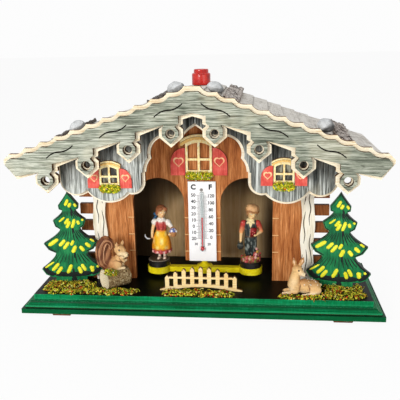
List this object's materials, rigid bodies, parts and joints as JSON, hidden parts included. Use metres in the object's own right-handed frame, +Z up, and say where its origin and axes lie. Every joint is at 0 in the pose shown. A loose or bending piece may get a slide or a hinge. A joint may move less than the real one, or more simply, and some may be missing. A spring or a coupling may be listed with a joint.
{
  "type": "weather house",
  "caption": "Wooden chalet weather house: a gut-hung beam swings the figures out of arched doorways beside a thermometer, under a scalloped roof with a chimney knob.",
  "frame": {"origin": "on the table under the middle of the object's box", "axes": "+Z up, -Y out of the front with the doorways, +X to the right as seen from the front"},
  "size_m": [0.26, 0.12, 0.1736],
  "materials": {
    "plinth_green": "satin green paint",
    "foot_brown": "stained",
    "wall_brown": "reddish brown stain with upright grain",
    "room_brown": "olive brown stain",
    "raw_wood": "raw",
    "roof_grey": "taupe grey stain",
    "bark": "rough bark",
    "stone": "matte, like a pebble",
    "cream_wood": "pale, sawn edges",
    "grey_wood": "weathered grey print",
    "post_ivory": "peeled, with dark cracks",
    "frame_yellow": "pale yellow wood",
    "shutter_red": "matte red paint",
    "flower": "coloured flock and dried moss",
    "scale_white": "gloss white with printed scale",
    "glass": "clear",
    "spirit_red": "red liquid",
    "tree_green": "painted green with yellow dabs and black edges",
    "log_bark": "bark with a sawn end",
    "squirrel": "painted",
    "fawn": "painted",
    "fret_wood": "pale fretwork",
    "moss": "coloured flock",
    "knob_red": "gloss red lacquer",
    "gut": "twisted gut",
    "beam_yellow": "gloss yellow",
    "stand_black": "gloss black",
    "girl": "painted",
    "boy": "painted"
  },
  "bodies": {
    "house": {"base_plinth": "plinth_green", "plinth_feet": "foot_brown", "front_wall": "wall_brown", "back_wall": "room_brown", "side_wall_left": "wall_brown", "side_wall_right": "wall_brown", "ridge_beam": "raw_wood", "roof_left": "roof_grey", "roof_right": "roof_grey", "roof_battens": "bark", "roof_stones": "stone", "gable_backing": "cream_wood", "gable_face": "grey_wood", "bargeboard_backing": "cream_wood", "bargeboard_face": "grey_wood", "corner_post_left": "post_ivory", "corner_post_right": "post_ivory", "window_centre": "frame_yellow", "window_left": "frame_yellow", "window_right": "frame_yellow", "shutters_centre": "shutter_red", "shutters_left": "shutter_red", "shutters_right": "shutter_red", "flowers_centre": "flower", "flowers_left": "flower", "flowers_right": "flower", "thermometer_plate": "scale_white", "thermometer_tube": "glass", "thermometer_spirit": "spirit_red", "tree_left": "tree_green", "tree_right": "tree_green", "squirrel_log": "log_bark", "squirrel": "squirrel", "fawn": "fawn", "fretwork_strip": "fret_wood", "moss_left": "moss", "moss_middle": "moss", "moss_right": "moss"},
    "chimney": {"chimney_knob": "knob_red"},
    "balance": {"gut_string": "gut", "balance_beam": "beam_yellow", "figure_stands": "stand_black", "girl_figure": "girl", "boy_figure": "boy"}
  },
  "joints": [
    {"name": "chimney_turn", "type": "hinge", "parent": "house", "child": "chimney", "pos_m": [0, 0.0065, 0.15], "axis": [0, 0, 1], "range_deg": [-8, 8]},
    {"name": "figure_swing", "type": "hinge", "parent": "chimney", "child": "balance", "pos_m": [0, 0.0065, 0.12], "axis": [0, 0, 1], "range_deg": [-26, 26]}
  ]
}
